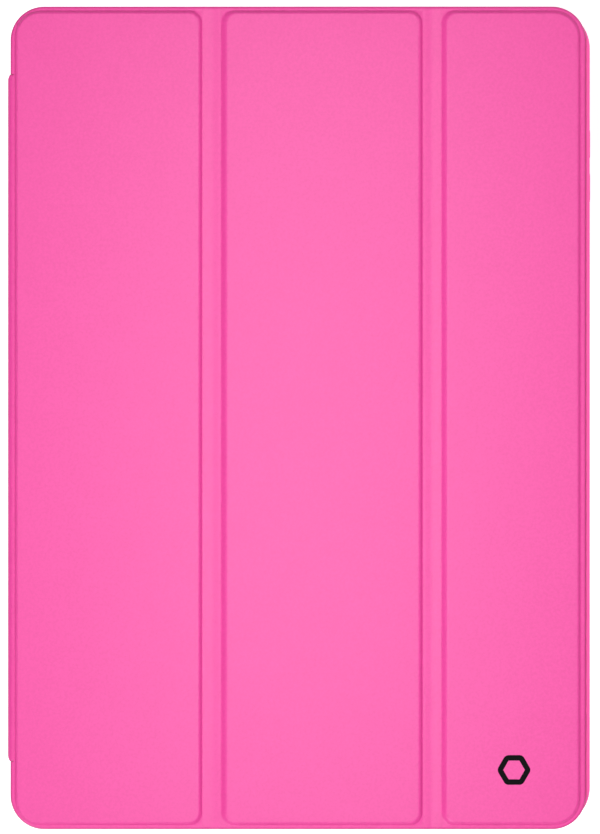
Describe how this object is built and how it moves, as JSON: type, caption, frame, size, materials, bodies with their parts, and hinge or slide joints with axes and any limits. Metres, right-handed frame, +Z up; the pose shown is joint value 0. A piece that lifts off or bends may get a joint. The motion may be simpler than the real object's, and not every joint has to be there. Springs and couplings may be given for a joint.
{
  "type": "tablet case",
  "caption": "Tri-fold tablet case: soft tray with camera, port and button openings, and a leather cover whose three stiff panels fold on soft strips into a stand.",
  "frame": {"origin": "centre of the underside of the closed case's bounding box", "axes": "+X from the spine to the free edge of the cover, +Y along the long side to the end with the camera, +Z up from the back of the case through its front cover"},
  "size_m": [0.1812, 0.256, 0.0125],
  "materials": {
    "pu_leather": "matt, fine grain",
    "tpu": "satin moulded",
    "microfibre": "brushed nap",
    "board": "pressed fibre board",
    "steel": "rolled strip",
    "magnet": "nickel plated",
    "film": "hot-melt adhesive film",
    "print": "matt ink"
  },
  "bodies": {
    "shell": {"tray": "tpu", "wing_leather": "pu_leather", "wing_film": "film"},
    "volume_up": {"volume_up_cover": "tpu"},
    "volume_down": {"volume_down_cover": "tpu"},
    "power": {"power_cover": "tpu"},
    "spine": {"spine_leather": "pu_leather", "spine_board": "board", "spine_lining": "microfibre"},
    "panel_1": {"panel_1_leather": "pu_leather", "panel_1_board": "board", "panel_1_lining": "microfibre", "catch_strip": "steel"},
    "fold_1": {"fold_1_leather": "pu_leather", "fold_1_lining": "microfibre"},
    "panel_2": {"panel_2_leather": "pu_leather", "panel_2_board": "board", "panel_2_lining": "microfibre"},
    "fold_2": {"fold_2_leather": "pu_leather", "fold_2_lining": "microfibre"},
    "panel_3": {"panel_3_leather": "pu_leather", "panel_3_board": "board", "panel_3_lining": "microfibre", "closing_magnets": "magnet", "wake_magnet": "magnet", "printed_mark": "print"}
  },
  "joints": [
    {"name": "spine_bend", "type": "hinge", "parent": "shell", "child": "spine", "pos_m": [-0.0913, 0, -0.0006], "axis": [0, -1, 0], "range_deg": [0, 270]},
    {"name": "cover_bend", "type": "hinge", "parent": "spine", "child": "panel_1", "pos_m": [-0.0898, 0, 0.0106], "axis": [0, -1, 0], "range_deg": [0, 90]},
    {"name": "fold_1_near", "type": "hinge", "parent": "panel_1", "child": "fold_1", "pos_m": [-0.0292, 0, 0.01085], "axis": [0, 1, 0], "range_deg": [-68, 0]},
    {"name": "fold_1_far", "type": "hinge", "parent": "fold_1", "child": "panel_2", "pos_m": [-0.0251, 0, 0.01085], "axis": [0, 1, 0], "range_deg": [-68, 0]},
    {"name": "fold_2_near", "type": "hinge", "parent": "panel_2", "child": "fold_2", "pos_m": [0.0394, 0, 0.01085], "axis": [0, 1, 0], "range_deg": [-62.5, 0]},
    {"name": "fold_2_far", "type": "hinge", "parent": "fold_2", "child": "panel_3", "pos_m": [0.0435, 0, 0.01085], "axis": [0, 1, 0], "range_deg": [-62.5, 0]},
    {"name": "volume_up_press", "type": "slide", "parent": "shell", "child": "volume_up", "axis": [-1, 0, 0], "range_m": [0, 0.0004], "stiffness_N_per_m": 1500},
    {"name": "volume_down_press", "type": "slide", "parent": "shell", "child": "volume_down", "axis": [-1, 0, 0], "range_m": [0, 0.0004], "stiffness_N_per_m": 1500},
    {"name": "power_press", "type": "slide", "parent": "shell", "child": "power", "axis": [0, -1, 0], "range_m": [0, 0.0004], "stiffness_N_per_m": 1500}
  ],
  "couplings": [
    {"joint": "fold_1_far", "follows": "fold_1_near", "ratio": 1},
    {"joint": "fold_2_far", "follows": "fold_2_near", "ratio": 1}
  ]
}
